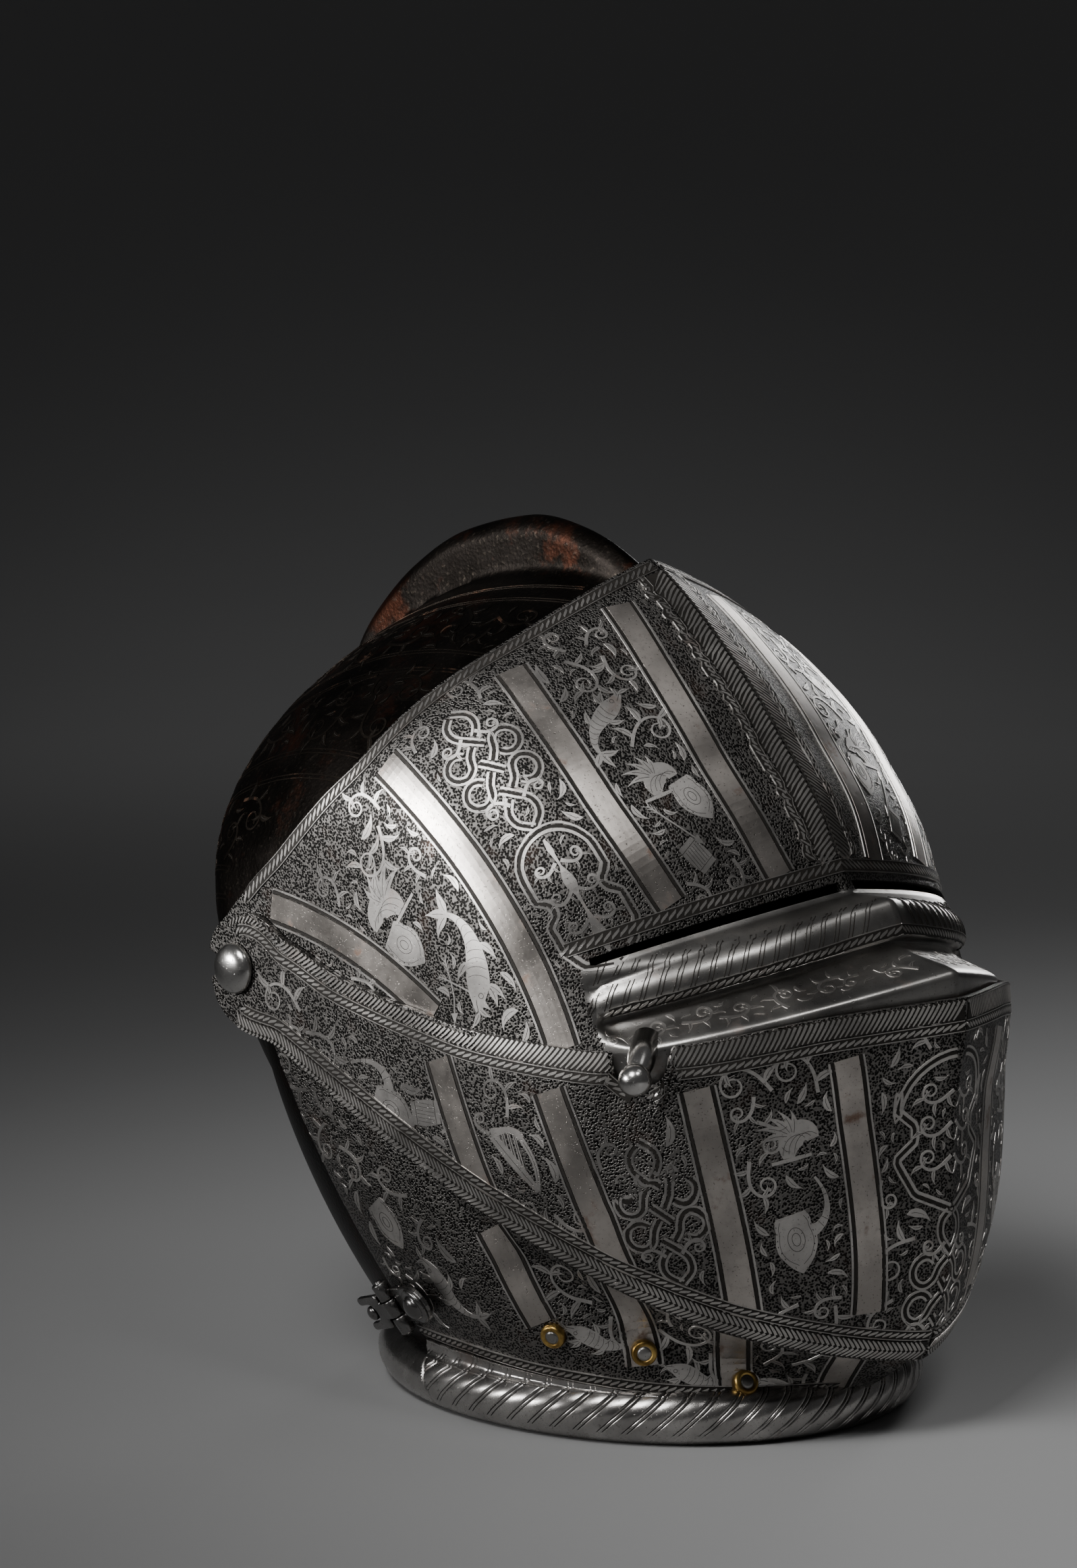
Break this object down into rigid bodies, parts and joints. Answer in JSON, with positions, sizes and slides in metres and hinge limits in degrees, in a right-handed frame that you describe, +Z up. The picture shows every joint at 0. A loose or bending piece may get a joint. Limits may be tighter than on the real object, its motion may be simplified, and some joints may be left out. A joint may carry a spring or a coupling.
{
  "type": "etched armet",
  "caption": "Etched steel close helmet with a tall comb, slit visor, keeled bevors hinged on side pivots, roped neck rim and side latch.",
  "frame": {"origin": "under the middle of the bounding box, on the plane the neck rim stands on", "axes": "+Z up, the face looks along -Y, the wearer's right side is -X"},
  "size_m": [0.232, 0.2889, 0.2897],
  "materials": {
    "dark_steel": "blackened etched steel with reddish wear",
    "etched_steel": "etched steel with dark ground and bright raised ornament",
    "bright_steel": "worn bright steel",
    "brass": "aged brass caps"
  },
  "bodies": {
    "skull": {"skull": "dark_steel", "pivot_right": "bright_steel", "pivot_left": "bright_steel", "latch_stud": "bright_steel"},
    "lower_bevor": {"lower_bevor": "etched_steel", "rivet_right_1": "brass", "rivet_left_1": "brass", "rivet_right_2": "brass", "rivet_left_2": "brass", "rivet_right_3": "brass", "rivet_left_3": "brass", "rivet_right_4": "brass", "rivet_left_4": "brass", "latch_leaf": "bright_steel", "latch_pin": "bright_steel", "latch_rosette": "bright_steel"},
    "upper_bevor": {"upper_bevor": "etched_steel"},
    "visor": {"visor": "etched_steel", "lifting_peg": "bright_steel"},
    "hasp": {"latch_hasp": "bright_steel"}
  },
  "joints": [
    {"name": "lower_bevor_swing", "type": "hinge", "parent": "skull", "child": "lower_bevor", "pos_m": [0, 0.075, 0.144], "axis": [-1, 0, 0], "range_deg": [0, 30]},
    {"name": "upper_bevor_swing", "type": "hinge", "parent": "lower_bevor", "child": "upper_bevor", "pos_m": [0, 0.075, 0.144], "axis": [-1, 0, 0], "range_deg": [0, 30]},
    {"name": "visor_swing", "type": "hinge", "parent": "upper_bevor", "child": "visor", "pos_m": [0, 0.075, 0.144], "axis": [-1, 0, 0], "range_deg": [0, 45]},
    {"name": "hasp_hinge", "type": "hinge", "parent": "lower_bevor", "child": "hasp", "pos_m": [-0.08631, 0.02587, 0.0333], "axis": [-0.3743, 0.3868, 0.8428], "range_deg": [0, 80]}
  ]
}
